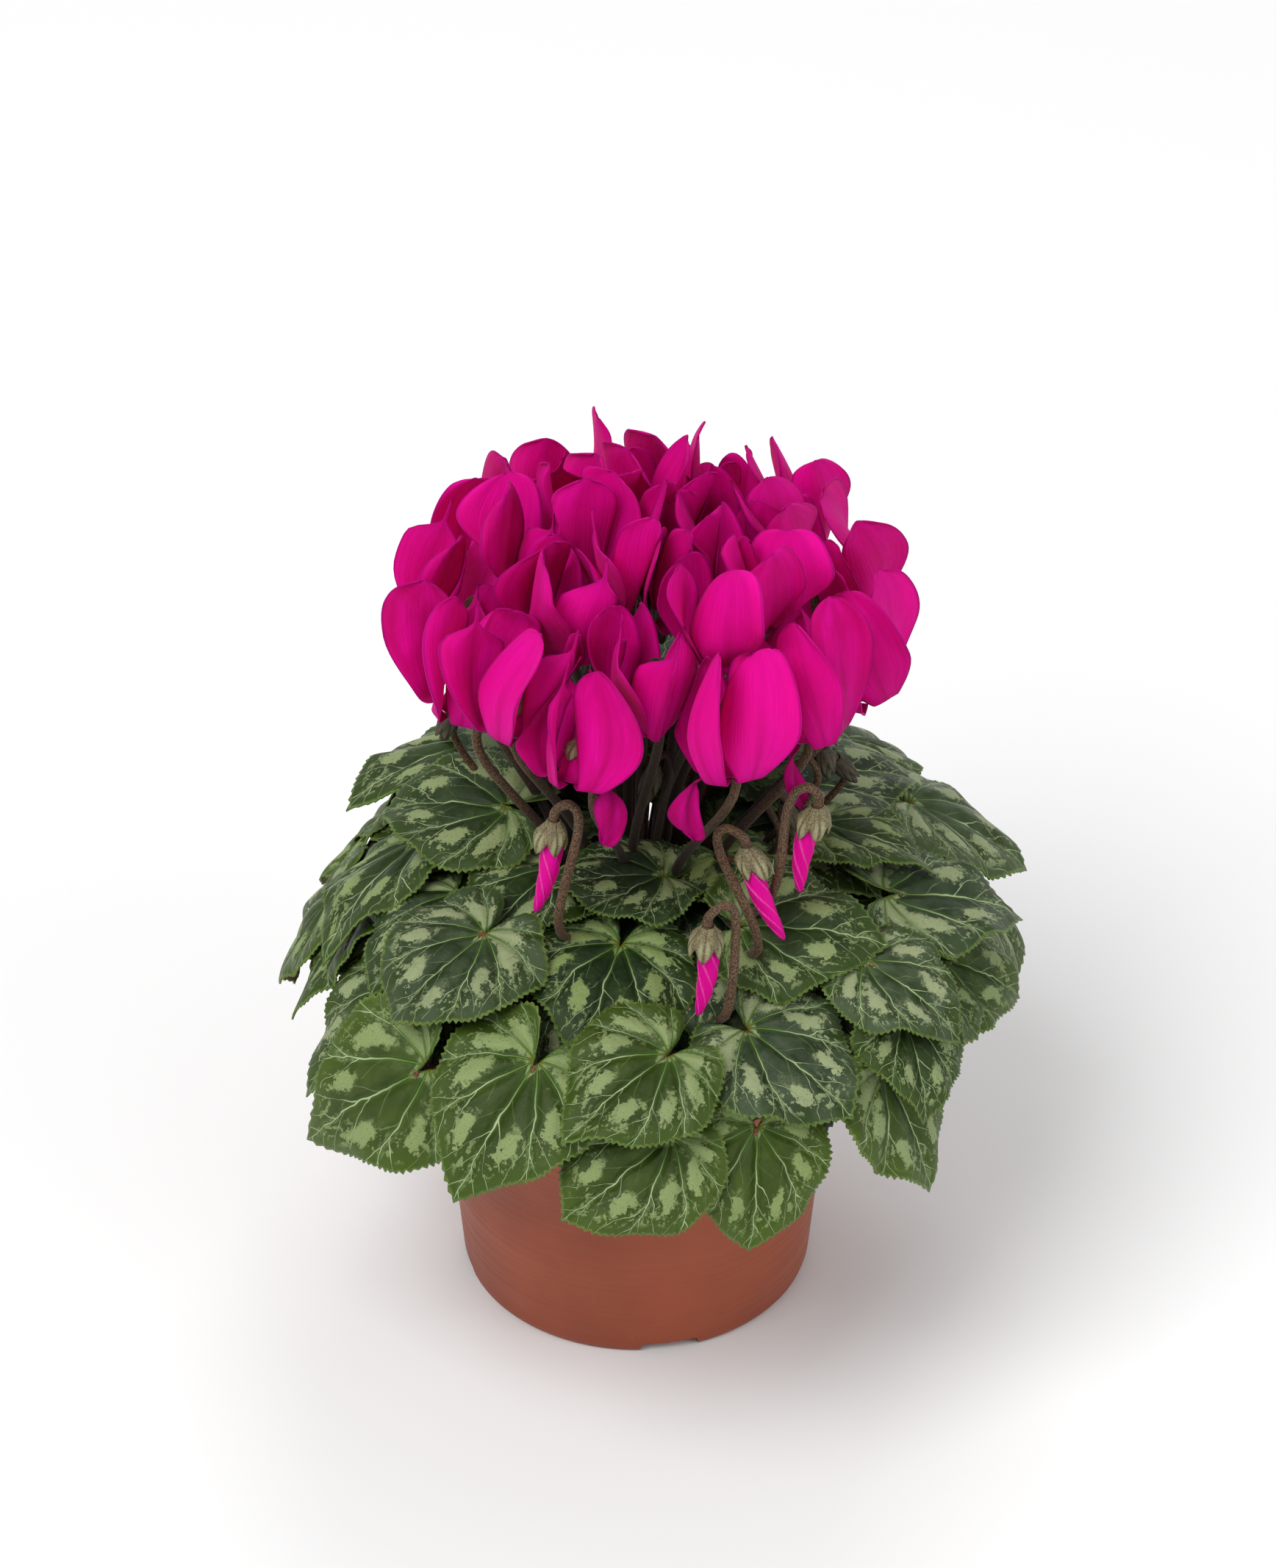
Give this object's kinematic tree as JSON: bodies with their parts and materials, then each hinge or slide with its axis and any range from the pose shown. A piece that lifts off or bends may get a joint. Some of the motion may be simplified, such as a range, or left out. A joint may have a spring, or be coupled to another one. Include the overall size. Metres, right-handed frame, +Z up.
{
  "type": "potted cyclamen",
  "caption": "Flowering cyclamen in a round tapered pot: heart-shaped marbled leaves mounded over the rim under a dome of nodding flowers with swept-back petals, and hanging buds.",
  "frame": {"origin": "middle of the pot's flat underside, on the surface that it stands on", "axes": "+Z up along the pot's axis, -Y towards the front"},
  "size_m": [0.1925, 0.2024, 0.2406],
  "materials": {
    "pot": "matte terracotta-coloured moulded plastic",
    "soil": "dark crumbly peat, with the density of light wood standing in for it",
    "stalk": "reddish-brown speckled stalks and corky tuber",
    "leaf": "dark green leaf with silver-green marbling, satin",
    "petal": "saturated magenta petal with a velvet sheen"
  },
  "bodies": {
    "root": {"pot": "pot", "soil": "soil", "crown": "stalk", "leaf_01": "leaf", "leaf_02": "leaf", "leaf_03": "leaf", "leaf_04": "leaf", "leaf_05": "leaf", "leaf_06": "leaf", "leaf_07": "leaf", "leaf_08": "leaf", "leaf_09": "leaf", "leaf_10": "leaf", "leaf_11": "leaf", "leaf_12": "leaf", "leaf_13": "leaf", "leaf_14": "leaf", "leaf_15": "leaf", "leaf_16": "leaf", "leaf_17": "leaf", "leaf_18": "leaf", "leaf_19": "leaf", "leaf_20": "leaf", "leaf_21": "leaf", "leaf_22": "leaf", "leaf_23": "leaf", "leaf_24": "leaf", "leaf_25": "leaf", "leaf_26": "leaf", "leaf_27": "leaf", "leaf_28": "leaf", "leaf_29": "leaf", "leaf_30": "leaf", "bloom_01": "petal", "bloom_02": "petal", "bloom_03": "petal", "bloom_04": "petal", "bloom_05": "petal", "bloom_06": "petal", "bloom_07": "petal", "bloom_08": "petal", "bloom_09": "petal", "bloom_10": "petal", "bloom_11": "petal", "bloom_12": "petal", "bloom_13": "petal", "bloom_14": "petal", "bloom_15": "petal", "bloom_16": "petal", "bloom_17": "petal", "bloom_18": "petal", "bloom_19": "petal", "bloom_20": "petal", "bloom_21": "petal", "bloom_22": "petal", "bloom_23": "petal", "bud_01": "petal", "bud_02": "petal", "bud_03": "petal", "bud_04": "petal"}
  },
  "joints": []
}
